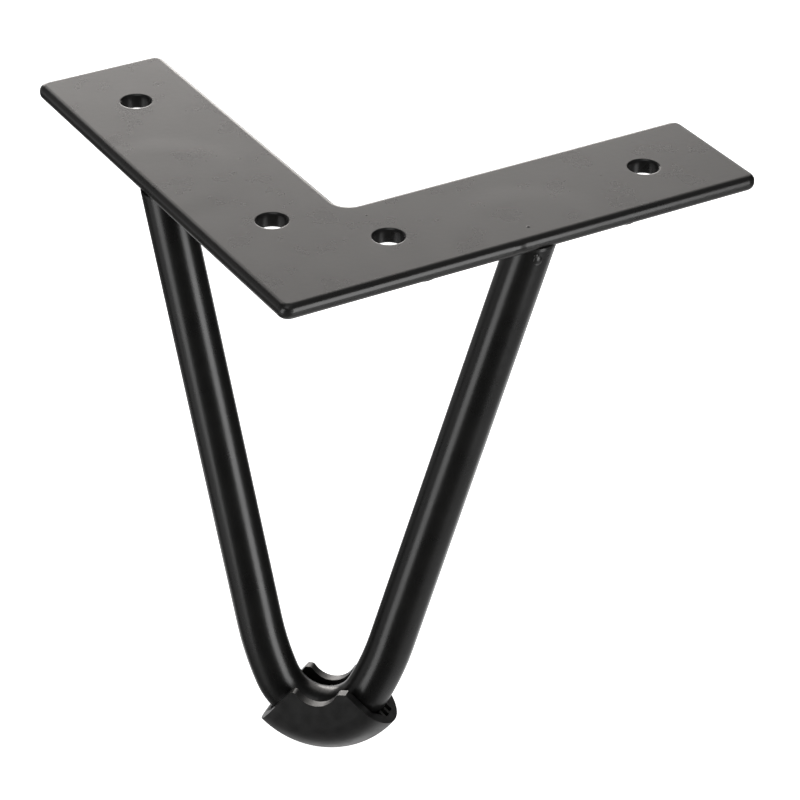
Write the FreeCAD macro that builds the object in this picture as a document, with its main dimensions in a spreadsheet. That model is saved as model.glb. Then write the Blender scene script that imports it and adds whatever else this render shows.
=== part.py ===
import FreeCAD, Part
import math
import os
import Sketcher
from FreeCAD import Placement, Rotation, Vector

# Hairpin table leg: an L-shaped corner plate with four screw holes, one round rod bent into a
# leaning V and butt-welded under the two arms, and a plastic shoe clipped on the bend.
#
# Frame: the origin is on the plate's top face, where the two rows of holes cross. X runs along
# one arm, Y along the other, and Z points up into the table top. The rod leans out towards the
# plate's outer corner.

# Driving dimensions in millimetres and degrees: name, value, meaning.
DRIVING = [
    ("arm_length", 113.4, "outer corner of the plate to the end of an arm"),
    ("arm_width", 30.4, "width of each arm, the flat bar's width"),
    ("plate_thickness", 3.4, "thickness of the flat bar"),
    ("corner_radius", 2.4, "outer corners in plan"),
    ("inner_corner_radius", 3.4, "inner corner in plan"),
    ("edge_radius", 1.5, "rounding of the top face's edges"),
    ("under_edge_radius", 1.4, "rounding of the underside's edges, which leaves hardly any flat between"),
    ("near_hole", 32.5, "outer corner to the first hole, along the arm"),
    ("hole_pitch", 62.0, "first hole to second hole of an arm"),
    ("hole_diameter", 6.5, "screw holes"),
    ("hole_rim", 0.3, "bevel of the holes' rims"),
    ("rod_diameter", 10.0, "round bar"),
    ("rod_proud", 0.3, "how far the rod's side stands past the plate's outer edge"),
    ("weld_reach", 60.0, "outer corner to the rod's axis at the plate, along the arm"),
    ("leg_height", 121.3, "plate's top face to the underside of the bend"),
    ("lean_angle", 9.6, "lean of the plane of the V towards the outer corner"),
    ("bend_radius", 11.5, "centre line of the bend"),
    ("bend_half_angle", 64.0, "turn of the tight bend, from its middle to each side"),
    ("easing_radius", 65.0, "gentle curve between the tight bend and the straight leg"),
    ("bead_leg", 1.6, "size of the fillet weld"),
    ("bead_shift", 3.2, "how far the weld lies to the hidden side of the rod"),
    ("shoe_clearance", 0.3, "gap between the rod and the channel's walls"),
    ("shoe_half_width", 7.7, "outside of the shoe's walls, from its middle"),
    ("shoe_drop", 1.0, "how far the round underside's centre lies below the rod's axis"),
    ("shoe_floor_gap", 1.55, "extra depth of the channel under the rod"),
    ("floor_half_width", 1.8, "flat of the channel's floor, from its middle; slopes join it to the walls"),
    ("lip_drop", 4.25, "bend's centre down to the flat tops of the walls"),
    ("scoop_radius", 5.16, "round hollow between the flat tops"),
    ("scoop_drop", 2.1, "bend's centre down to the hollow's centre"),
    ("ear_radius", 1.0, "rounding where the hollow meets the flat tops"),
    ("shoe_end_angle", 44.0, "each end face, from the shoe's middle line"),
    ("shoe_end_rise", 2.3, "where the end faces' planes cross, above the bend's centre"),
    ("shoe_end_shift", 0.35, "and how far it lies towards the leg under the X arm"),
    ("shoe_turn", 7.3, "how far the shoe sits turned round the bend"),
    ("rib_width", 0.8, "ribs that hold the rod off the channel's floor"),
    ("rib_spacing", 2.4, "middle rib to each side rib"),
    ("rib_gap", 0.15, "gap between the rod and the ribs"),
]

# Values worked out from the driving ones, as formulas in the sheet.
DERIVED = [
    ("rod_radius", "rod_diameter / 2"),
    ("row_offset", "arm_width / 2"),
    ("far_hole", "near_hole + hole_pitch"),
    ("weld_inset", "rod_radius - rod_proud"),
    ("weld_middle", "(weld_reach + weld_inset) / 2 - row_offset"),
    ("weld_half_span", "(weld_reach - weld_inset) / sqrt(2)"),
    ("axis_drop", "leg_height - plate_thickness - rod_radius"),
    ("path_depth", "axis_drop / cos(lean_angle * 1 deg)"),
    ("bend_lean", "axis_drop * tan(lean_angle * 1 deg)"),
    ("centre_depth", "path_depth - bend_radius"),
    ("easing_x", "-(easing_radius - bend_radius) * sin(bend_half_angle * 1 deg)"),
    ("easing_z", "(easing_radius - bend_radius) * cos(bend_half_angle * 1 deg) - centre_depth"),
    ("easing_across", "weld_half_span - easing_x"),
    ("easing_reach", "sqrt(easing_across ^ 2 + easing_z ^ 2)"),
    ("easing_slope", "atan(-easing_z / easing_across) / 1 deg"),
    ("leg_slope", "acos(easing_radius / easing_reach) / 1 deg - easing_slope"),
    ("channel_half_width", "rod_radius + shoe_clearance"),
    ("floor_depth", "bend_radius + shoe_floor_gap + channel_half_width"),
    ("wall_foot_depth", "floor_depth + floor_half_width - channel_half_width"),
]

SHEET = "Sizes"
OVERSHOOT = 8.0          # how far the rod's path runs past the plate before it is trimmed
CUT_MARGIN = 5.0         # how far a cutting shape reaches past what it cuts
RIB_ROOT = 0.3           # how far a rib's foot sinks into the channel's floor
WALL_TOP = 2.5           # bend's centre to the top of the turned section, cut off later
SHOE_SWEEP = 150.0       # turn of the shoe's section before its ends are cut
BEAD_BELOW = 3           # bead sizes from the plate down to the cone's small end
BEAD_HEIGHT = 4          # bead sizes from the small end to the cone's large end
BEAD_BAR = 6             # bead sizes that the cut for the rod runs each way
TOLERANCE = 1e-4


def make_sheet(doc):
    """Spreadsheet with the driving dimensions and the values that follow from them."""
    sheet = doc.addObject("Spreadsheet::Sheet", SHEET)
    row = 0
    for name, value, meaning in DRIVING:
        row += 1
        sheet.set(f"A{row}", meaning)
        sheet.set(f"B{row}", str(value))
        sheet.setAlias(f"B{row}", name)
    for name, formula in DERIVED:
        row += 1
        sheet.set(f"B{row}", "=" + formula)
        sheet.setAlias(f"B{row}", name)
    doc.recompute()
    return sheet


def bind(thing, prop, formula):
    """Tie a property to the sheet; names of sizes in the formula are written plainly."""
    names = [entry[0] for entry in DRIVING + DERIVED]
    words = []
    word = ""
    for letter in formula + " ":
        if letter.isalnum() or letter == "_":
            word += letter
            continue
        words.append(f"{SHEET}.{word}" if word in names else word)
        words.append(letter)
        word = ""
    thing.setExpression(prop, "".join(words).strip())


def make_body(doc, name, turn=None):
    """Empty body whose label is the name of its file."""
    body = doc.addObject("PartDesign::Body", name)
    body.Label = name
    if turn:
        body.Placement = Placement(Vector(), turn)
    return body


def plane_of(body, role):
    """One of the body's own origin planes."""
    return next(item for item in body.Origin.OriginFeatures if item.Role == role)


def make_sketch(body, name, role):
    """Sketch on one of the body's origin planes."""
    sketch = body.newObject("Sketcher::SketchObject", name)
    sketch.AttachmentSupport = [(plane_of(body, role), "")]
    sketch.MapMode = "FlatFace"
    return sketch


def size(sketch, name, kind, refs, formula, value):
    """Named dimension of a sketch, tied to the sheet."""
    index = sketch.addConstraint(Sketcher.Constraint(kind, *refs, value))
    sketch.renameConstraint(index, name)
    bind(sketch, f"Constraints.{name}", formula)


def join(sketch, kind, *refs):
    """Constraint without a size."""
    sketch.addConstraint(Sketcher.Constraint(kind, *refs))


def add_line(sketch, start, end, construction=False):
    """Straight line of a sketch."""
    line = Part.LineSegment(Vector(*start, 0), Vector(*end, 0))
    return sketch.addGeometry(line, construction)


def add_arc(sketch, centre, radius, start, end):
    """Arc of a sketch, drawn anticlockwise between two angles in degrees."""
    circle = Part.Circle(Vector(*centre, 0), Vector(0, 0, 1), radius)
    return sketch.addGeometry(Part.ArcOfCircle(circle, math.radians(start), math.radians(end)), False)


def add_circle(sketch, name, across, up):
    """Hole of the plate, its centre given by two formulas."""
    start = 10.0
    index = sketch.addGeometry(Part.Circle(Vector(start, start, 0), Vector(0, 0, 1), 1.0), False)
    size(sketch, f"{name}_diameter", "Diameter", (index,), "hole_diameter", 2.0)
    size(sketch, f"{name}_across", "DistanceX", (-1, 1, index, 3), across, start)
    size(sketch, f"{name}_up", "DistanceY", (-1, 1, index, 3), up, start)


def edges_where(shape, test):
    """Names of the shape's edges that pass a test."""
    return [f"Edge{i + 1}" for i, edge in enumerate(shape.Edges) if test(edge)]


def round_edges(body, name, base, radius, test):
    """Fillet on the edges of a feature that pass a test."""
    fillet = body.newObject("PartDesign::Fillet", name)
    fillet.Base = (base, edges_where(base.Shape, test))
    bind(fillet, "Radius", radius)
    body.Document.recompute()
    return fillet


def is_upright(edge):
    """Straight edge along Z."""
    return edge.Curve.TypeId == "Part::GeomLine" and abs(edge.tangentAt(edge.FirstParameter).z) > 0.99


def make_plate(doc, sheet):
    """Corner plate: an L of flat bar, lying under Z = 0 with its outer corner at its own origin."""
    body = make_body(doc, "mounting_plate")
    bind(body, "Placement.Base.x", "-row_offset")
    bind(body, "Placement.Base.y", "-row_offset")

    outline = make_sketch(body, "PlateOutline", "XY_Plane")
    length, width = sheet.arm_length, sheet.arm_width
    corners = [(0, 0), (length, 0), (length, width), (width, width), (width, length), (0, length)]
    lines = [add_line(outline, corners[i], corners[(i + 1) % 6]) for i in range(6)]
    for i in range(6):
        join(outline, "Coincident", lines[i], 2, lines[(i + 1) % 6], 1)
        join(outline, "Horizontal" if i % 2 == 0 else "Vertical", lines[i])
    join(outline, "Coincident", lines[0], 1, -1, 1)
    size(outline, "length_x", "DistanceX", (-1, 1, lines[0], 2), "arm_length", length)
    size(outline, "length_y", "DistanceY", (-1, 1, lines[4], 2), "arm_length", length)
    size(outline, "width_x", "DistanceX", (-1, 1, lines[3], 1), "arm_width", width)
    size(outline, "width_y", "DistanceY", (-1, 1, lines[3], 1), "arm_width", width)

    pad = body.newObject("PartDesign::Pad", "PlatePad")
    pad.Profile = outline
    bind(pad, "Length", "plate_thickness")
    pad.Reversed = True
    doc.recompute()

    inner = Vector(width, width, 0)

    def is_inner(edge):
        return is_upright(edge) and Vector(edge.CenterOfMass.x, edge.CenterOfMass.y, 0).isEqual(inner, TOLERANCE)

    corner = round_edges(body, "PlateCorners", pad, "corner_radius", lambda e: is_upright(e) and not is_inner(e))
    crook = round_edges(body, "PlateCrook", corner, "inner_corner_radius", is_inner)

    holes = make_sketch(body, "ScrewHoles", "XY_Plane")
    for place in ("near", "far"):
        add_circle(holes, f"{place}_x", f"{place}_hole", "row_offset")
        add_circle(holes, f"{place}_y", "row_offset", f"{place}_hole")
    drill = body.newObject("PartDesign::Pocket", "ScrewHolePocket")
    drill.Profile = holes
    drill.Type = 1
    drill.Midplane = True
    doc.recompute()

    thickness = sheet.plate_thickness

    def is_rim(edge):
        full = edge.Curve.TypeId == "Part::GeomCircle" and edge.isClosed()
        return full and abs(edge.Curve.Radius - sheet.hole_diameter / 2) < TOLERANCE

    def is_outline(edge, height):
        box = edge.BoundBox
        return box.ZLength < TOLERANCE and abs(box.ZMax - height) < TOLERANCE and not is_rim(edge)

    above = round_edges(body, "TopEdges", drill, "edge_radius", lambda e: is_outline(e, 0))
    outside = round_edges(body, "UnderEdges", above, "under_edge_radius", lambda e: is_outline(e, -thickness))
    rims = body.newObject("PartDesign::Chamfer", "HoleRims")
    rims.Base = (outside, edges_where(outside.Shape, is_rim))
    bind(rims, "Size", "hole_rim")
    doc.recompute()
    return body


def make_rod(doc, sheet):
    """Hairpin rod, in a frame midway between the welds: X across the V, Z up, Y towards the inner corner.

    Half of the path is drawn in the leaning plane: tight bend, easing curve, straight leg.
    The rod's circle is swept along it, mirrored, and trimmed flush with the plate's underside.
    """
    body = make_body(doc, "hairpin_rod", Rotation(Vector(0, 0, 1), -45))
    bind(body, "Placement.Base.x", "weld_middle")
    bind(body, "Placement.Base.y", "weld_middle")
    bind(body, "Placement.Base.z", "-plate_thickness")

    path = make_sketch(body, "LegPath", "XZ_Plane")
    path.AttachmentOffset = Placement(Vector(), Rotation(Vector(-1, 0, 0), sheet.lean_angle))
    bind(path, "AttachmentOffset.Rotation.Angle", "lean_angle * 1 deg")
    depth, bend, ease = sheet.centre_depth, sheet.bend_radius, sheet.easing_radius
    turn, slope = sheet.bend_half_angle, sheet.leg_slope
    tight = add_arc(path, (0, -depth), bend, -90, turn - 90)
    gentle = add_arc(path, (sheet.easing_x, sheet.easing_z), ease, turn - 90, -slope)
    ease_end = path.Geometry[gentle].EndPoint
    top_x = sheet.weld_half_span + OVERSHOOT * math.tan(math.radians(slope))
    leg = add_line(path, (ease_end.x, ease_end.y), (top_x, OVERSHOOT))
    join(path, "PointOnObject", tight, 3, -2)
    join(path, "PointOnObject", tight, 1, -2)
    join(path, "Tangent", tight, 2, gentle, 1)
    join(path, "Tangent", gentle, 2, leg, 1)
    size(path, "bend_radius", "Radius", (tight,), "bend_radius", bend)
    size(path, "easing_radius", "Radius", (gentle,), "easing_radius", ease)
    size(path, "centre_depth", "DistanceY", (tight, 3, -1, 1), "centre_depth", depth)
    size(path, "easing_offset", "DistanceX", (gentle, 3, -1, 1), "-easing_x", -sheet.easing_x)
    size(path, "top_up", "DistanceY", (-1, 1, leg, 2), f"{OVERSHOOT}", OVERSHOOT)

    section = make_sketch(body, "RodSection", "YZ_Plane")
    lean, drop = sheet.bend_lean, sheet.axis_drop
    ring = section.addGeometry(Part.Circle(Vector(-lean, -drop, 0), Vector(0, 0, 1), sheet.rod_radius), False)
    size(section, "rod_diameter", "Diameter", (ring,), "rod_diameter", sheet.rod_diameter)
    size(section, "lean_out", "DistanceX", (ring, 3, -1, 1), "bend_lean", lean)
    size(section, "drop", "DistanceY", (ring, 3, -1, 1), "axis_drop", drop)

    doc.recompute()
    pipe = body.newObject("PartDesign::AdditivePipe", "HalfRod")
    pipe.Profile = section
    pipe.Spine = (path, ["Edge1", "Edge2", "Edge3"])
    doc.recompute()

    both = body.newObject("PartDesign::Mirrored", "WholeRod")
    both.Originals = [pipe]
    both.MirrorPlane = (plane_of(body, "YZ_Plane"), [""])
    body.Tip = both
    doc.recompute()

    trim = make_sketch(body, "TrimOutline", "XY_Plane")
    reach = sheet.weld_half_span + sheet.rod_diameter + OVERSHOOT
    corners = [(-reach, -reach), (reach, -reach), (reach, reach), (-reach, reach)]
    lines = [add_line(trim, corners[i], corners[(i + 1) % 4]) for i in range(4)]
    for i in range(4):
        join(trim, "Coincident", lines[i], 2, lines[(i + 1) % 4], 1)
        join(trim, "Horizontal" if i % 2 == 0 else "Vertical", lines[i])
    across = f"weld_half_span + rod_diameter + {OVERSHOOT}"
    size(trim, "right", "DistanceX", (-1, 1, lines[0], 2), across, reach)
    size(trim, "left", "DistanceX", (lines[0], 1, -1, 1), across, reach)
    size(trim, "back", "DistanceY", (-1, 1, lines[1], 2), across, reach)
    size(trim, "front", "DistanceY", (lines[0], 1, -1, 1), across, reach)
    flush = body.newObject("PartDesign::Pocket", "FlushEnds")
    flush.Profile = trim
    flush.Type = 1
    flush.Reversed = True
    doc.recompute()
    if not flush.Shape.Volume < both.Shape.Volume:
        raise RuntimeError("the rod's ends were not trimmed")
    return body


def make_bead(doc, sheet, name, side):
    """Fillet weld of one rod end: a cone round the leg, set over to the hidden side, less the rod.

    Side is 1 for the leg under the X arm and -1 for the one under the Y arm.
    """
    lean = Rotation(Vector(1, 0, 0), -sheet.lean_angle)
    slant = Rotation(Vector(0, 0, 1), -45).multiply(lean).multiply(Rotation(Vector(0, 1, 0), side * sheet.leg_slope))
    along, in_from_edge = sheet.weld_reach - sheet.row_offset, sheet.weld_inset - sheet.row_offset
    if side > 0:
        foot = Vector(along, in_from_edge, -sheet.plate_thickness)
        hidden = Vector(0, 1, 0)
    else:
        foot = Vector(in_from_edge, along, -sheet.plate_thickness)
        hidden = Vector(1, 0, 0)

    cone = doc.addObject("Part::Cone", f"{name}_cone")
    bind(cone, "Radius1", "rod_radius - bead_leg / 2")
    bind(cone, "Radius2", f"rod_radius + bead_leg * {BEAD_HEIGHT - 1} / 2")
    bind(cone, "Height", f"bead_leg * {BEAD_HEIGHT}")
    start = slant.multVec(Vector(0, 0, -BEAD_BELOW * sheet.bead_leg))
    cone.Placement = Placement(foot + hidden * sheet.bead_shift + start, slant)

    bar = doc.addObject("Part::Cylinder", f"{name}_bar")
    bind(bar, "Radius", "rod_radius")
    bind(bar, "Height", f"bead_leg * {2 * BEAD_BAR}")
    bar.Placement = Placement(foot + slant.multVec(Vector(0, 0, -BEAD_BAR * sheet.bead_leg)), slant)

    above = doc.addObject("Part::Box", f"{name}_above")
    for prop in ("Length", "Width", "Height"):
        bind(above, prop, "rod_diameter + arm_width")
    above.Placement.Base = foot - Vector(1, 1, 0) * ((sheet.rod_diameter + sheet.arm_width) / 2)

    around = doc.addObject("Part::Cut", f"{name}_around")
    around.Base = cone
    around.Tool = bar
    bead = doc.addObject("Part::Cut", name)
    bead.Base = around
    bead.Tool = above
    bead.Label = name
    doc.recompute()
    return bead


def make_shoe(doc, sheet):
    """Clip-on shoe, in a frame at the bend's centre: Y along the bend's axis, Z up in the V's plane.

    A U-shaped section is turned round the bend. Two planes cut its ends, the tops of its walls are
    cut flat with a round hollow between them, and ribs stand on the channel's floor.
    """
    lean = Rotation(Vector(1, 0, 0), -sheet.lean_angle)
    turned = Rotation(Vector(0, 0, 1), -45).multiply(lean).multiply(Rotation(Vector(0, 1, 0), -sheet.shoe_turn))
    body = make_body(doc, "foot_shoe", turned)
    out = "centre_depth * sin(lean_angle * 1 deg) / sqrt(2)"
    bind(body, "Placement.Base.x", f"weld_middle - {out}")
    bind(body, "Placement.Base.y", f"weld_middle - {out}")
    bind(body, "Placement.Base.z", "-plate_thickness - centre_depth * cos(lean_angle * 1 deg)")

    section = make_sketch(body, "ShoeSection", "YZ_Plane")
    bend, outer, drop = sheet.bend_radius, sheet.shoe_half_width, sheet.shoe_drop
    inner, flat = sheet.channel_half_width, sheet.floor_half_width
    foot_depth, wall_foot = sheet.floor_depth, sheet.wall_foot_depth
    under = add_arc(section, (0, -bend - drop), outer, 180, 360)
    join(section, "PointOnObject", under, 3, -2)
    join(section, "Horizontal", under, 3, under, 1)
    join(section, "Horizontal", under, 3, under, 2)
    floor = add_line(section, (-flat, -foot_depth), (flat, -foot_depth))
    join(section, "Horizontal", floor)
    for name, side, end in (("left", -1, 1), ("right", 1, 2)):
        slope = add_line(section, (side * flat, -foot_depth), (side * inner, -wall_foot))
        inside = add_line(section, (side * inner, -wall_foot), (side * inner, -WALL_TOP))
        top = add_line(section, (side * inner, -WALL_TOP), (side * outer, -WALL_TOP))
        outside = add_line(section, (side * outer, -WALL_TOP), (side * outer, -bend - drop))
        join(section, "Coincident", floor, end, slope, 1)
        join(section, "Coincident", slope, 2, inside, 1)
        join(section, "Coincident", inside, 2, top, 1)
        join(section, "Coincident", top, 2, outside, 1)
        join(section, "Coincident", outside, 2, under, end)
        join(section, "Vertical", inside)
        join(section, "Horizontal", top)
        join(section, "Vertical", outside)
        flat_end = (floor, end, -1, 1) if side < 0 else (-1, 1, floor, end)
        slope_end = (slope, 2, -1, 1) if side < 0 else (-1, 1, slope, 2)
        size(section, f"flat_{name}", "DistanceX", flat_end, "floor_half_width", flat)
        size(section, f"wall_{name}", "DistanceX", slope_end, "channel_half_width", inner)
        size(section, f"wall_foot_{name}", "DistanceY", (slope, 2, -1, 1), "wall_foot_depth", wall_foot)
        size(section, f"wall_top_{name}", "DistanceY", (top, 1, -1, 1), f"{WALL_TOP}", WALL_TOP)
    size(section, "outside", "Radius", (under,), "shoe_half_width", outer)
    size(section, "floor_depth", "DistanceY", (floor, 1, -1, 1), "floor_depth", foot_depth)
    size(section, "under_depth", "DistanceY", (under, 3, -1, 1), "bend_radius + shoe_drop", bend + drop)
    shell = body.newObject("PartDesign::Revolution", "ShoeShell")
    shell.Profile = section
    shell.ReferenceAxis = (section, ["H_Axis"])
    shell.Angle = SHOE_SWEEP
    shell.Midplane = True
    doc.recompute()

    ribs = make_sketch(body, "RibSection", "YZ_Plane")
    half, spacing = sheet.rib_width / 2, sheet.rib_spacing
    hold = sheet.rod_radius + sheet.rib_gap
    for name, middle in (("left", -spacing), ("middle", 0.0), ("right", spacing)):
        near = max(abs(middle) - half, 0.0)
        top = bend + math.sqrt(hold ** 2 - near ** 2)
        foot = foot_depth + RIB_ROOT
        corners = [(middle - half, -foot), (middle + half, -foot), (middle + half, -top), (middle - half, -top)]
        sides = [add_line(ribs, corners[i], corners[(i + 1) % 4]) for i in range(4)]
        for i in range(4):
            join(ribs, "Coincident", sides[i], 2, sides[(i + 1) % 4], 1)
            join(ribs, "Horizontal" if i % 2 == 0 else "Vertical", sides[i])
        near_side = "0" if name == "middle" else "rib_spacing - rib_width / 2"
        far_side = "rib_width / 2" if name == "middle" else "rib_spacing + rib_width / 2"
        top_formula = f"bend_radius + sqrt((rod_radius + rib_gap) ^ 2 - ({near_side}) ^ 2)"
        size(ribs, f"{name}_width", "DistanceX", (sides[0], 1, sides[0], 2), "rib_width", sheet.rib_width)
        size(ribs, f"{name}_foot", "DistanceY", (sides[0], 1, -1, 1), f"floor_depth + {RIB_ROOT}", foot)
        size(ribs, f"{name}_top", "DistanceY", (sides[2], 1, -1, 1), top_formula, top)
        far_corner = (sides[0], 1, -1, 1) if name == "left" else (-1, 1, sides[0], 2)
        size(ribs, f"{name}_place", "DistanceX", far_corner, far_side, abs(middle) + half)
    grip = body.newObject("PartDesign::Revolution", "ShoeRibs")
    grip.Profile = ribs
    grip.ReferenceAxis = (ribs, ["H_Axis"])
    grip.Angle = SHOE_SWEEP
    grip.Midplane = True
    doc.recompute()

    ends = make_sketch(body, "EndPlanes", "XZ_Plane")
    rise, shift = sheet.shoe_end_rise, sheet.shoe_end_shift
    reach = bend + drop + outer + CUT_MARGIN
    run = reach * math.tan(math.radians(sheet.shoe_end_angle))
    low_z, high_z = rise - reach, rise + reach
    corners = [(shift, rise), (shift + run, low_z), (shift + run, high_z), (shift - run, high_z), (shift - run, low_z)]
    sides = [add_line(ends, corners[i], corners[(i + 1) % 5]) for i in range(5)]
    for i in range(5):
        join(ends, "Coincident", sides[i], 2, sides[(i + 1) % 5], 1)
    join(ends, "Vertical", sides[1])
    join(ends, "Horizontal", sides[2])
    join(ends, "Vertical", sides[3])
    margin = f"(bend_radius + shoe_drop + shoe_half_width + {CUT_MARGIN})"
    across = f"{margin} * tan(shoe_end_angle * 1 deg)"
    size(ends, "rise", "DistanceY", (-1, 1, sides[0], 1), "shoe_end_rise", rise)
    size(ends, "shift", "DistanceX", (-1, 1, sides[0], 1), "shoe_end_shift", shift)
    size(ends, "right_depth", "DistanceY", (sides[0], 2, sides[0], 1), margin, reach)
    size(ends, "left_depth", "DistanceY", (sides[4], 1, sides[4], 2), margin, reach)
    size(ends, "right_run", "DistanceX", (sides[0], 1, sides[0], 2), across, run)
    size(ends, "left_run", "DistanceX", (sides[4], 1, sides[4], 2), across, run)
    size(ends, "top", "DistanceY", (sides[0], 1, sides[2], 1), margin, reach)
    trim = body.newObject("PartDesign::Pocket", "ShoeEnds")
    trim.Profile = ends
    trim.Type = 1
    trim.Midplane = True
    doc.recompute()

    tops = make_sketch(body, "WallTops", "XZ_Plane")
    lip, radius, low = sheet.lip_drop, sheet.scoop_radius, sheet.scoop_drop
    ear = math.sqrt(radius ** 2 - (lip - low) ** 2)
    start = math.degrees(math.asin((lip - low) / radius))
    bowl = add_arc(tops, (0, -low), radius, 180 + start, 360 - start)
    corners = [(ear, -lip), (reach, -lip), (reach, reach), (-reach, reach), (-reach, -lip), (-ear, -lip)]
    sides = [add_line(tops, corners[i], corners[i + 1]) for i in range(5)]
    for i in range(4):
        join(tops, "Coincident", sides[i], 2, sides[i + 1], 1)
    join(tops, "Coincident", sides[0], 1, bowl, 2)
    join(tops, "Coincident", sides[4], 2, bowl, 1)
    for i in range(5):
        join(tops, "Horizontal" if i % 2 == 0 else "Vertical", sides[i])
    join(tops, "PointOnObject", bowl, 3, -2)
    size(tops, "scoop_radius", "Radius", (bowl,), "scoop_radius", radius)
    size(tops, "scoop_drop", "DistanceY", (bowl, 3, -1, 1), "scoop_drop", low)
    size(tops, "flat_right", "DistanceY", (sides[0], 1, -1, 1), "lip_drop", lip)
    size(tops, "flat_left", "DistanceY", (sides[4], 1, -1, 1), "lip_drop", lip)
    size(tops, "right", "DistanceX", (-1, 1, sides[1], 1), margin, reach)
    size(tops, "left", "DistanceX", (sides[3], 1, -1, 1), margin, reach)
    size(tops, "up", "DistanceY", (-1, 1, sides[2], 1), margin, reach)
    lips = body.newObject("PartDesign::Pocket", "WallTopCut")
    lips.Profile = tops
    lips.Type = 1
    lips.Midplane = True
    doc.recompute()

    if not lips.Shape.Volume < trim.Shape.Volume < grip.Shape.Volume:
        raise RuntimeError("the shoe's ends or the tops of its walls were not cut")

    def is_ear(edge):
        middle = edge.CenterOfMass
        along = edge.Curve.TypeId == "Part::GeomLine" and abs(edge.tangentAt(edge.FirstParameter).y) > 0.99
        return along and abs(middle.z + lip) < TOLERANCE and abs(abs(middle.x) - ear) < TOLERANCE

    round_edges(body, "EarRounds", lips, "ear_radius", is_ear)
    return body


def check(doc, pieces):
    """Every object has worked, and every piece is one valid solid."""
    for item in doc.Objects:
        if "Invalid" in item.State or "Error" in item.State:
            raise RuntimeError(f"{item.Name} failed: {item.State}")
    for piece in pieces:
        shape = piece.Shape
        if shape.isNull() or not shape.isValid() or len(shape.Solids) != 1:
            raise RuntimeError(f"{piece.Label} is not one valid solid")
        print(f"{piece.Label}: {shape.Volume:.1f} cubic mm")


def main():
    doc = FreeCAD.newDocument("HairpinLeg")
    sheet = make_sheet(doc)
    pieces = [
        make_plate(doc, sheet),
        make_rod(doc, sheet),
        make_bead(doc, sheet, "weld_bead_right", 1),
        make_bead(doc, sheet, "weld_bead_left", -1),
        make_shoe(doc, sheet),
    ]
    doc.recompute()
    check(doc, pieces)
    os.makedirs("parts", exist_ok=True)
    for piece in pieces:
        piece.Shape.exportStep(f"parts/{piece.Label}.step")


main()
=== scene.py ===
import math

import bpy
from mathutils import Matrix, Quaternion, Vector


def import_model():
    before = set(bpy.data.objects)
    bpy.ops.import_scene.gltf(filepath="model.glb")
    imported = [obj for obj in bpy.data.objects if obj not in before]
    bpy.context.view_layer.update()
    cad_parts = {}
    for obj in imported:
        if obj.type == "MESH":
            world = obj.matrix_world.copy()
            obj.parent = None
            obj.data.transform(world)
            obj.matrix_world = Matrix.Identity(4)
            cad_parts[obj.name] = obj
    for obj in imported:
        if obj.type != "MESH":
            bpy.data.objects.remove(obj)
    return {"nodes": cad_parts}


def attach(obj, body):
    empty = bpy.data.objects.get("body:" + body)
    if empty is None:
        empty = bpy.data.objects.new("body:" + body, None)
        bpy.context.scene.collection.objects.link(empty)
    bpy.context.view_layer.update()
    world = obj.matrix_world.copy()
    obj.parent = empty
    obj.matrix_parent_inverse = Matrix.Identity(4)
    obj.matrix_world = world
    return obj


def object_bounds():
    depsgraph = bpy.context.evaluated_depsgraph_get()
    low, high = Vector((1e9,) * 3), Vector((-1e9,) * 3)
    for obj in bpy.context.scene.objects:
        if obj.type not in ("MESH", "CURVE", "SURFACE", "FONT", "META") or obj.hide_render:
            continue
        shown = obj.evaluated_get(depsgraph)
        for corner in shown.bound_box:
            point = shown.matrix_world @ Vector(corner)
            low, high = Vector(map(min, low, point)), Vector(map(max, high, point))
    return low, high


# Hairpin table leg. Metres, in the frame of the CAD model: the origin is on the plate's top face
# where the two rows of holes cross, X and Y run along the arms, and Z points up.

MM = 0.001

# Camera at the photograph's angle, with its roll in radians and its lens in millimetres, and how
# far it sees.
CAMERA_PLACE = (-0.260198, -0.469464, 0.300725)
CAMERA_AIM = (0.001186, -0.032287, -0.016371)
CAMERA_ROLL = 0.01406
LENS = 139.086
SENSOR = 36.0
CAMERA_REACH = 20.0

# Darkest and palest tone of each finish.
PLATE_TONES = ((0.0072, 0.0070, 0.0067), (0.0094, 0.0091, 0.0086))
ROD_TONES = ((0.0030, 0.0030, 0.0028), (0.0044, 0.0043, 0.0041))
WELD_TONES = ((0.0054, 0.0053, 0.0050), (0.0080, 0.0077, 0.0073))
SHOE_TONES = ((0.0045, 0.0044, 0.0043), (0.0068, 0.0067, 0.0065))
SPECK_TONE = (0.004, 0.004, 0.004)

# Roughness of the smoothest and the roughest patches.
COAT_ROUGHNESS = (0.26, 0.31)
SHOE_ROUGHNESS = (0.36, 0.46)
SPECK_ROUGHNESS = 0.9

# Texture of the powder coat in millimetres: width of the cloudy patches and of the orange peel, and
# width and depth of the fine grain.
CLOUD_WIDTH = 9.0
PEEL_WIDTH = 1.3
GRAIN_WIDTH = 0.6
GRAIN_DEPTH = 0.0015

# Relief of each coated piece in millimetres: width and depth of the slow waves, and depth of the
# orange peel.
PLATE_RELIEF = (16.0, 0.02, 0.006)
ROD_RELIEF = (22.0, 0.02, 0.005)
WELD_RELIEF = (2.4, 0.05, 0.01)

# Texture of the shoe's plastic in millimetres: width and depth of the mottle and the mould's grain.
MOTTLE_WIDTH = 2.2
MOTTLE_DEPTH = 0.012
MOULD_GRAIN_WIDTH = 0.25
MOULD_GRAIN_DEPTH = 0.008

# Values of a noise that are its darkest and its palest patches.
NOISE_ENDS = (0.3, 0.7)

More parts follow.
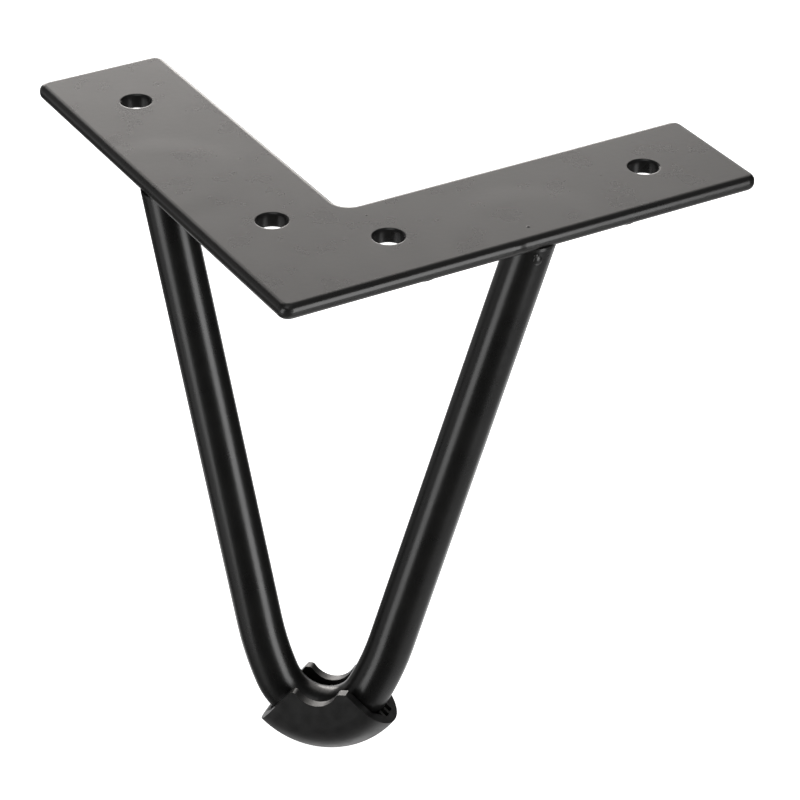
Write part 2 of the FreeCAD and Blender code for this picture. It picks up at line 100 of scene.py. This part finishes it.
# Specks in the plate's coat: centre and radius in millimetres, where their soft edge ends and
# starts as a share of the way to the centre, and their height in millimetres.
SPECKS = [((44.0, -10.4, 0.0), 0.55), ((17.8, 9.8, 0.0), 0.35)]
SPECK_EDGE = (0.2, 0.5)
SPECK_HEIGHT = 0.05

# Softened rims of the four holes, in millimetres: the holes' centres, a point above each of them,
# the rim's inner and outer reach from that point, and its depth.
HOLES = [(17.3, 0.0), (79.3, 0.0), (0.0, 17.3), (0.0, 79.3)]
RIM_POINT_HEIGHT = 3.0
RIM_REACH = (4.47, 4.78)
RIM_DEPTH = 0.06

# Swellings over the two welds and a small lump on an edge, in millimetres: centre, radius of the
# flat middle, outer radius, and height.
SWELLINGS = [
    ((44.8, -10.5, 0.0), 11.0, 19.0, 0.045),
    ((-10.5, 44.8, 0.0), 11.0, 19.0, 0.05),
    ((39.0, -15.2, -1.2), 0.0, 1.8, 0.12),
]

# Beads of weld spatter in millimetres: centre and radii.
SPATTER = [((43.45, -15.1, -5.25), (1.1, 0.5, 1.2)), ((43.1, -15.12, -4.1), (0.6, 0.38, 0.5))]

# Runs of the coat in millimetres: centre and half length of each, and their half thickness.
DRIPS = [((17.9, -14.66, -3.06), 1.2), ((65.9, -14.66, -3.06), 1.0)]
DRIP_HALF_THICKNESS = 0.16

# The rod's two ends: foot of the axis at the plate in millimetres, and the axis' direction.
ROD_ENDS = [
    ((44.8, -10.5, -3.4), (0.2873, -0.0590, 0.9560)),
    ((-10.5, 44.8, -3.4), (-0.0590, 0.2873, 0.9560)),
]

# Weld collars in millimetres: lower and upper radius, and height. Then the number of their sides,
# and the angle in degrees above which an edge stays sharp.
COLLAR_RADII = (5.0, 4.95)
COLLAR_HEIGHT = 0.6
COLLAR_SIDES = 96
COLLAR_SHARP_ANGLE = 40

# Radiance of the surroundings that the object reflects. A share is what is left of a light on the
# near side, behind the camera, or on the dim side.
ROOM_LIGHT = 0.03
CEILING_LIGHT = 0.13
ZENITH_LIGHT = 0.8
SLOPE_LIGHT = 0.75
SLOPE_NEAR_SHARE = 0.2
SLOPE_DIM_SHARE = 0.2
UNDER_LIGHT = 1.1
UNDER_NEAR_SHARE = 0.3
SWEEP_LIGHT = 1.1
LEFT_LIGHT = 0.35
LEFT_HIGH_LIGHT = 0.22
LEFT_LOW_LIGHT = 0.5

# Heights between which each light comes in, as the Z of a unit direction.
CEILING_HEIGHTS = (0.58, 0.78)
ZENITH_HEIGHTS = (0.95, 0.985)
SLOPE_HEIGHTS = (-0.45, -0.85)
UNDER_HEIGHTS = (-0.86, -0.97)

# Azimuths in degrees from X, anticlockwise, and the cosines from them between which a share ends
# or starts.
FAR_AZIMUTH = 30.0
FAR_COSINES = (-0.70, -0.30)
DIM_AZIMUTH = 128.0
DIM_COSINES = (0.55, 0.85)

# Lit bands of the wall: azimuth, cosines from it between which the band comes in, heights between
# which it comes in and then goes out, and its radiance.
WALL_BANDS = [
    (58.0, (0.86, 0.94), (-0.72, -0.60), (-0.05, 0.08), SWEEP_LIGHT),
    (58.0, (0.50, 0.72), (-0.75, -0.68), (-0.62, -0.55), SWEEP_LIGHT),
    (118.0, (0.60, 0.76), (-0.38, -0.24), (0.0, 0.15), LEFT_LIGHT),
    (118.0, (0.60, 0.76), (-0.38, -0.24), (0.45, 0.65), LEFT_HIGH_LIGHT),
    (167.0, (0.88, 0.96), (-0.62, -0.50), (-0.36, -0.25), LEFT_LOW_LIGHT),
]

# Softboxes: azimuth from X, anticlockwise, and elevation in degrees; distance, width and height in
# metres; radiance, colour, and roll in degrees. All face one point.
WHITE = (1.0, 1.0, 1.0)
WARM_WHITE = (1.0, 0.965, 0.935)
LOW_WARM_WHITE = (1.0, 0.96, 0.93)
SOFTBOXES = {
    "back softbox": (60, 30, 1.2, 1.4, 1.1, 1.28, WARM_WHITE, 0),
    "low back softbox": (69, 11, 1.3, 0.85, 0.45, 5.0, LOW_WARM_WHITE, 0),
    "right strip": (292, 2, 1.2, 0.56, 1.05, 4.8, WHITE, 0),
    "left strip": (191, 4, 1.2, 0.52, 1.15, 2.9, WHITE, -15),
    "near top fill": (225, 62, 1.3, 0.7, 0.6, 1.0, WHITE, 0),
}
SOFTBOX_AIM = (0.02, 0.02, -0.06)

# Floor: width in metres, tone, roughness, and the glow that keeps it white.
FLOOR_WIDTH = 30.0
FLOOR_TONE = (0.9, 0.9, 0.9, 1.0)
FLOOR_ROUGHNESS = 0.9
FLOOR_GLOW = 1.1


def pick_only(piece):
    """Make one object the only selected and active one."""
    bpy.ops.object.select_all(action="DESELECT")
    piece.select_set(True)
    bpy.context.view_layer.objects.active = piece


def settle(piece, name):
    """Name a piece and put its place into its mesh, so that its object lies at the origin."""
    pick_only(piece)
    bpy.ops.object.transform_apply(location=True, rotation=True, scale=True)
    piece.name = name
    piece.data.name = name
    return piece


def join_pieces(pieces, name):
    """One object of several meshes."""
    bpy.ops.object.select_all(action="DESELECT")
    for piece in pieces:
        piece.select_set(True)
    bpy.context.view_layer.objects.active = pieces[0]
    bpy.ops.object.join()
    return settle(bpy.context.view_layer.objects.active, name)


# Materials


def blank_material(name):
    """Material with only a shader and its output, and the object's own coordinates."""
    material = bpy.data.materials.new(name)
    material.use_nodes = True
    tree = material.node_tree
    shader = tree.nodes["Principled BSDF"]
    place = tree.nodes.new("ShaderNodeTexCoord").outputs["Object"]
    return material, tree, shader, place


def noise(tree, place, size_mm, detail=2.0, rough=0.5):
    """Noise whose grains are about size_mm wide."""
    node = tree.nodes.new("ShaderNodeTexNoise")
    node.inputs["Scale"].default_value = 1.0 / (size_mm * MM)
    node.inputs["Detail"].default_value = detail
    node.inputs["Roughness"].default_value = rough
    tree.links.new(place, node.inputs["Vector"])
    return node.outputs["Fac"]


def remap(tree, value, low, high, to_low, to_high, curve="LINEAR"):
    """Change of range, held within its ends."""
    node = tree.nodes.new("ShaderNodeMapRange")
    node.interpolation_type = curve
    tree.links.new(value, node.inputs["Value"])
    node.inputs["From Min"].default_value = low
    node.inputs["From Max"].default_value = high
    node.inputs["To Min"].default_value = to_low
    node.inputs["To Max"].default_value = to_high
    return node.outputs["Result"]


def combine(tree, operation, first, second):
    """Maths on two values, each a socket or a number."""
    node = tree.nodes.new("ShaderNodeMath")
    node.operation = operation
    for index, value in enumerate((first, second)):
        if isinstance(value, (int, float)):
            node.inputs[index].default_value = value
        else:
            tree.links.new(value, node.inputs[index])
    return node.outputs["Value"]


def largest(tree, values):
    """The largest of several values."""
    result = values[0]
    for value in values[1:]:
        result = combine(tree, "MAXIMUM", result, value)
    return result


def spot(tree, place, centre_mm, radius_mm, curve="LINEAR", flat_mm=0.0):
    """Soft round mask: 1 at the centre and out to flat_mm, 0 beyond the radius."""
    node = tree.nodes.new("ShaderNodeVectorMath")
    node.operation = "DISTANCE"
    node.inputs[1].default_value = [value * MM for value in centre_mm]
    tree.links.new(place, node.inputs[0])
    return remap(tree, node.outputs["Value"], flat_mm * MM, radius_mm * MM, 1.0, 0.0, curve)


def shade_between(tree, amount, first, second):
    """Colour between two colours, each a socket or three numbers."""
    node = tree.nodes.new("ShaderNodeMix")
    node.data_type = "RGBA"
    for index, colour in ((6, first), (7, second)):
        if isinstance(colour, tuple):
            node.inputs[index].default_value = (*colour, 1.0)
        else:
            tree.links.new(colour, node.inputs[index])
    tree.links.new(amount, node.inputs[0])
    return node.outputs[2]


def bump(tree, height, depth_mm, below=None):
    """Relief of the given depth, over another relief if there is one."""
    node = tree.nodes.new("ShaderNodeBump")
    node.inputs["Strength"].default_value = 1.0
    node.inputs["Distance"].default_value = depth_mm * MM
    tree.links.new(height, node.inputs["Height"])
    if below is not None:
        tree.links.new(below, node.inputs["Normal"])
    return node.outputs["Normal"]


def feed(tree, shader, name, value):
    """Lead a value into one of the shader's sockets, in place of what fed it before."""
    tree.links.new(value, shader.inputs[name])


def fed_by(shader, name):
    """What feeds one of the shader's sockets."""
    return shader.inputs[name].links[0].from_socket


def patches(tree, shader, pattern, tones, roughness):
    """Tone and roughness that change with a pattern."""
    amount = remap(tree, pattern, *NOISE_ENDS, 0.0, 1.0)
    feed(tree, shader, "Base Color", shade_between(tree, amount, *tones))
    feed(tree, shader, "Roughness", remap(tree, pattern, *NOISE_ENDS, *roughness))


def powder_coat(name, tones, sizes):
    """Satin black powder coat: slow waves of the steel below, orange peel and a fine grain."""
    material, tree, shader, place = blank_material(name)
    wave_width, wave_depth, peel_depth = sizes
    relief = bump(tree, noise(tree, place, wave_width, detail=1.0), wave_depth)
    relief = bump(tree, noise(tree, place, PEEL_WIDTH, detail=0.0), peel_depth, relief)
    relief = bump(tree, noise(tree, place, GRAIN_WIDTH, detail=0.0), GRAIN_DEPTH, relief)
    feed(tree, shader, "Normal", relief)
    clouds = noise(tree, place, CLOUD_WIDTH, detail=3.0, rough=0.6)
    patches(tree, shader, clouds, tones, COAT_ROUGHNESS)
    return material, tree, shader, place


def add_specks(tree, shader, place):
    """A few dull dark specks, slightly raised."""
    spots = [spot(tree, place, centre, radius) for centre, radius in SPECKS]
    specks = largest(tree, [remap(tree, mark, *SPECK_EDGE, 0.0, 1.0) for mark in spots])
    feed(tree, shader, "Base Color", shade_between(tree, specks, fed_by(shader, "Base Color"), SPECK_TONE))
    dull = combine(tree, "MULTIPLY", specks, SPECK_ROUGHNESS)
    feed(tree, shader, "Roughness", combine(tree, "MAXIMUM", fed_by(shader, "Roughness"), dull))
    feed(tree, shader, "Normal", bump(tree, specks, SPECK_HEIGHT, fed_by(shader, "Normal")))


def add_hole_rims(tree, shader, place):
    """Softened rim round each screw hole."""
    inner, outer = RIM_REACH
    rims = [spot(tree, place, (x, y, RIM_POINT_HEIGHT), outer, flat_mm=inner) for x, y in HOLES]
    ground = combine(tree, "SUBTRACT", 1.0, largest(tree, rims))
    feed(tree, shader, "Normal", bump(tree, ground, RIM_DEPTH, fed_by(shader, "Normal")))


def add_swellings(tree, shader, place):
    """Soft swellings over the welds and a small lump on an edge."""
    for centre, flat, radius, height in SWELLINGS:
        swelling = spot(tree, place, centre, radius, "SMOOTHSTEP", flat)
        feed(tree, shader, "Normal", bump(tree, swelling, height, fed_by(shader, "Normal")))


def plate_finish():
    """Coat of the plate, with its specks, hole rims and swellings."""
    material, tree, shader, place = powder_coat("plate satin black coat", PLATE_TONES, PLATE_RELIEF)
    add_specks(tree, shader, place)
    add_hole_rims(tree, shader, place)
    add_swellings(tree, shader, place)
    return material


def rod_finish():
    """Coat of the rod, darker than the plate's."""
    material, *_ = powder_coat("rod satin black coat", ROD_TONES, ROD_RELIEF)
    return material


def weld_finish():
    """Coat over the rough weld."""
    material, *_ = powder_coat("weld satin black coat", WELD_TONES, WELD_RELIEF)
    return material


def shoe_finish():
    """Matte moulded plastic, mottled and with a fine grain from its mould."""
    material, tree, shader, place = blank_material("shoe matte black plastic")
    mottle = noise(tree, place, MOTTLE_WIDTH)
    grain = noise(tree, place, MOULD_GRAIN_WIDTH, detail=3.0, rough=0.6)
    relief = bump(tree, mottle, MOTTLE_DEPTH)
    feed(tree, shader, "Normal", bump(tree, grain, MOULD_GRAIN_DEPTH, relief))
    patches(tree, shader, mottle, SHOE_TONES, SHOE_ROUGHNESS)
    return material


# Small pieces


def make_spatter(finish):
    """Two beads of weld spatter on the leg, just under the plate, coated over."""
    balls = []
    for centre, radii in SPATTER:
        place = [value * MM for value in centre]
        bpy.ops.mesh.primitive_ico_sphere_add(subdivisions=3, radius=MM, location=place)
        ball = bpy.context.active_object
        ball.scale = radii
        balls.append(ball)
    piece = join_pieces(balls, "weld_spatter")
    bpy.ops.object.shade_smooth()
    piece.data.materials.append(finish)
    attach(piece, "root")


def make_collars(finish):
    """Weld metal that fills the corner between each rod end and the plate's rounded edge.

    Each is a low cone that stands on the rod's slanting end and leans as the rod does.
    """
    collars = []
    for foot, axis in ROD_ENDS:
        lean = Vector(axis)
        bpy.ops.mesh.primitive_cone_add(
            vertices=COLLAR_SIDES,
            radius1=COLLAR_RADII[0] * MM,
            radius2=COLLAR_RADII[1] * MM,
            depth=COLLAR_HEIGHT * MM,
            location=(0.0, 0.0, COLLAR_HEIGHT / 2 * MM),
        )
        collar = bpy.context.active_object
        collar.scale = (1.0 / lean.z, 1.0, 1.0)
        collar.rotation_euler = (0.0, 0.0, math.atan2(lean.y, lean.x))
        pick_only(collar)
        bpy.ops.object.transform_apply(location=True, rotation=True, scale=True)
        lean_top(collar, lean)
        collar.location = Vector(foot) * MM
        collars.append(collar)
    piece = join_pieces(collars, "weld_collars")
    bpy.ops.object.shade_smooth_by_angle(angle=math.radians(COLLAR_SHARP_ANGLE))
    piece.data.materials.append(finish)
    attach(piece, "root")


def lean_top(collar, lean):
    """Shift a collar's upper ring, so that the collar leans as the rod does."""
    bpy.ops.object.mode_set(mode="EDIT")
    bpy.ops.mesh.select_all(action="DESELECT")
    bpy.ops.object.mode_set(mode="OBJECT")
    for point in collar.data.vertices:
        point.select = point.co.z > COLLAR_HEIGHT / 2 * MM
    shift = COLLAR_HEIGHT * MM / lean.z
    bpy.ops.object.mode_set(mode="EDIT")
    bpy.ops.transform.translate(value=(lean.x * shift, lean.y * shift, 0.0))
    bpy.ops.object.mode_set(mode="OBJECT")


def make_drips(finish):
    """Small runs of the coat on the plate's lower outer edge."""
    lumps = []
    for centre, half_length in DRIPS:
        place = [value * MM for value in centre]
        bpy.ops.mesh.primitive_uv_sphere_add(segments=24, ring_count=16, radius=MM, location=place)
        lump = bpy.context.active_object
        lump.scale = (half_length, DRIP_HALF_THICKNESS, DRIP_HALF_THICKNESS)
        lumps.append(lump)
    piece = join_pieces(lumps, "coat_drips")
    bpy.ops.object.shade_smooth()
    piece.data.materials.append(finish)
    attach(piece, "root")


# Studio


def make_camera():
    """Camera at the photograph's place and angle."""
    place, aim = Vector(CAMERA_PLACE), Vector(CAMERA_AIM)
    data = bpy.data.cameras.new("camera")
    data.lens = LENS
    data.sensor_width = SENSOR
    data.clip_end = CAMERA_REACH
    camera = bpy.data.objects.new("camera", data)
    bpy.context.scene.collection.objects.link(camera)
    camera.location = place
    camera.rotation_mode = "QUATERNION"
    camera.rotation_quaternion = (aim - place).to_track_quat("-Z", "Y") @ Quaternion((0, 0, 1), CAMERA_ROLL)
    bpy.context.scene.camera = camera


def make_softbox(name, azimuth, elevation, distance, width, height, radiance, colour, roll):
    """Softbox that faces the leg and is itself unseen."""
    data = bpy.data.lights.new(name, "AREA")
    data.color = colour
    data.shape = "RECTANGLE"
    data.size = width
    data.size_y = height
    data.energy = radiance * math.pi * width * height
    light = bpy.data.objects.new(name, data)
    bpy.context.scene.collection.objects.link(light)
    turn, rise = math.radians(azimuth), math.radians(elevation)
    away = Vector((math.cos(turn) * math.cos(rise), math.sin(turn) * math.cos(rise), math.sin(rise)))
    light.location = Vector(SOFTBOX_AIM) + away * distance
    light.rotation_mode = "QUATERNION"
    light.rotation_quaternion = (-away).to_track_quat("-Z", "Y") @ Quaternion((0, 0, 1), math.radians(roll))
    light.visible_camera = False


def make_world():
    """Surroundings: white for the camera, and for the object a dim room with lit parts.

    The floor is brightest straight below, and dimmer on the near side, behind the camera. Its
    slopes, further out, are dim to the back left too. A white sweep stands behind the object, with
    weaker bands of light on the wall to its left. The ceiling is paler than the wall, with a bright
    patch straight above.
    """
    world = bpy.data.worlds.new("studio")
    bpy.context.scene.world = world
    world.use_nodes = True
    tree = world.node_tree
    back = tree.nodes["Background"]
    back.inputs["Strength"].default_value = 1.0
    way = tree.nodes.new("ShaderNodeTexCoord").outputs["Generated"]
    parts = tree.nodes.new("ShaderNodeSeparateXYZ")
    tree.links.new(way, parts.inputs[0])
    height = parts.outputs["Z"]
    # The level part of the direction, kept just above zero straight up and down.
    squared = combine(tree, "MULTIPLY", height, height)
    level = combine(tree, "SQRT", combine(tree, "SUBTRACT", 1.0001, squared), 0.0)

    def towards(azimuth, cosines, first, last):
        """Fade by the cosine of the level angle from an azimuth."""
        turn = math.radians(azimuth)
        node = tree.nodes.new("ShaderNodeVectorMath")
        node.operation = "DOT_PRODUCT"
        node.inputs[1].default_value = (math.cos(turn), math.sin(turn), 0.0)
        tree.links.new(way, node.inputs[0])
        cosine = combine(tree, "DIVIDE", node.outputs["Value"], level)
        return remap(tree, cosine, *cosines, first, last)

    def wall_band(azimuth, cosines, comes_in, goes_out, light):
        """One lit band of the wall."""
        rising = remap(tree, height, *comes_in, 0.0, 1.0)
        falling = remap(tree, height, *goes_out, light, 0.0)
        band = combine(tree, "MULTIPLY", rising, falling)
        return combine(tree, "MULTIPLY", band, towards(azimuth, cosines, 0.0, 1.0))

    slopes = remap(tree, height, *SLOPE_HEIGHTS, 0.0, SLOPE_LIGHT)
    slopes = combine(tree, "MULTIPLY", slopes, towards(FAR_AZIMUTH, FAR_COSINES, SLOPE_NEAR_SHARE, 1.0))
    slopes = combine(tree, "MULTIPLY", slopes, towards(DIM_AZIMUTH, DIM_COSINES, 1.0, SLOPE_DIM_SHARE))
    under = remap(tree, height, *UNDER_HEIGHTS, 0.0, UNDER_LIGHT)
    under = combine(tree, "MULTIPLY", under, towards(FAR_AZIMUTH, FAR_COSINES, UNDER_NEAR_SHARE, 1.0))
    wall = largest(tree, [wall_band(*band) for band in WALL_BANDS])
    ceiling = remap(tree, height, *CEILING_HEIGHTS, ROOM_LIGHT, ROOM_LIGHT + CEILING_LIGHT)
    zenith = remap(tree, height, *ZENITH_HEIGHTS, 0.0, ZENITH_LIGHT)
    floor = combine(tree, "ADD", slopes, under)
    total = combine(tree, "ADD", floor, combine(tree, "ADD", wall, largest(tree, [ceiling, zenith])))
    camera_ray = tree.nodes.new("ShaderNodeLightPath").outputs["Is Camera Ray"]
    tree.links.new(combine(tree, "MAXIMUM", total, camera_ray), back.inputs["Color"])


def make_floor(height):
    """Plain white floor that glows softly. The leg doesn't reflect it, and it casts no shadow."""
    bpy.ops.mesh.primitive_plane_add(size=FLOOR_WIDTH, location=(0, 0, height))
    floor = bpy.context.active_object
    floor.name = "floor"
    material = bpy.data.materials.new("floor white")
    material.use_nodes = True
    shader = material.node_tree.nodes["Principled BSDF"]
    shader.inputs["Base Color"].default_value = FLOOR_TONE
    shader.inputs["Roughness"].default_value = FLOOR_ROUGHNESS
    shader.inputs["Emission Color"].default_value = (*WHITE, 1.0)
    shader.inputs["Emission Strength"].default_value = FLOOR_GLOW
    floor.data.materials.append(material)
    floor.visible_glossy = False
    floor.visible_shadow = False


def make_studio(floor_height):
    """Two softboxes behind, a bright strip right, a weaker one left, and a fill above the near side."""
    make_world()
    make_floor(floor_height)
    for name, values in SOFTBOXES.items():
        make_softbox(name, *values)
    bpy.context.scene.view_settings.view_transform = "Standard"


def main():
    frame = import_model()
    cad_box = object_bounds()
    nodes = frame["nodes"]
    finishes = {
        "plate_coat": plate_finish(),
        "rod_coat": rod_finish(),
        "weld_coat": weld_finish(),
        "shoe_plastic": shoe_finish(),
    }
    slots = {
        "mounting_plate": "plate_coat",
        "hairpin_rod": "rod_coat",
        "weld_bead_left": "weld_coat",
        "weld_bead_right": "weld_coat",
        "foot_shoe": "shoe_plastic",
    }
    for name, slot in slots.items():
        for holder in nodes[name].material_slots:
            holder.material = finishes[slot]
    make_spatter(finishes["weld_coat"])
    make_collars(finishes["weld_coat"])
    make_drips(finishes["plate_coat"])
    make_camera()
    make_studio(cad_box[0][2])


main()
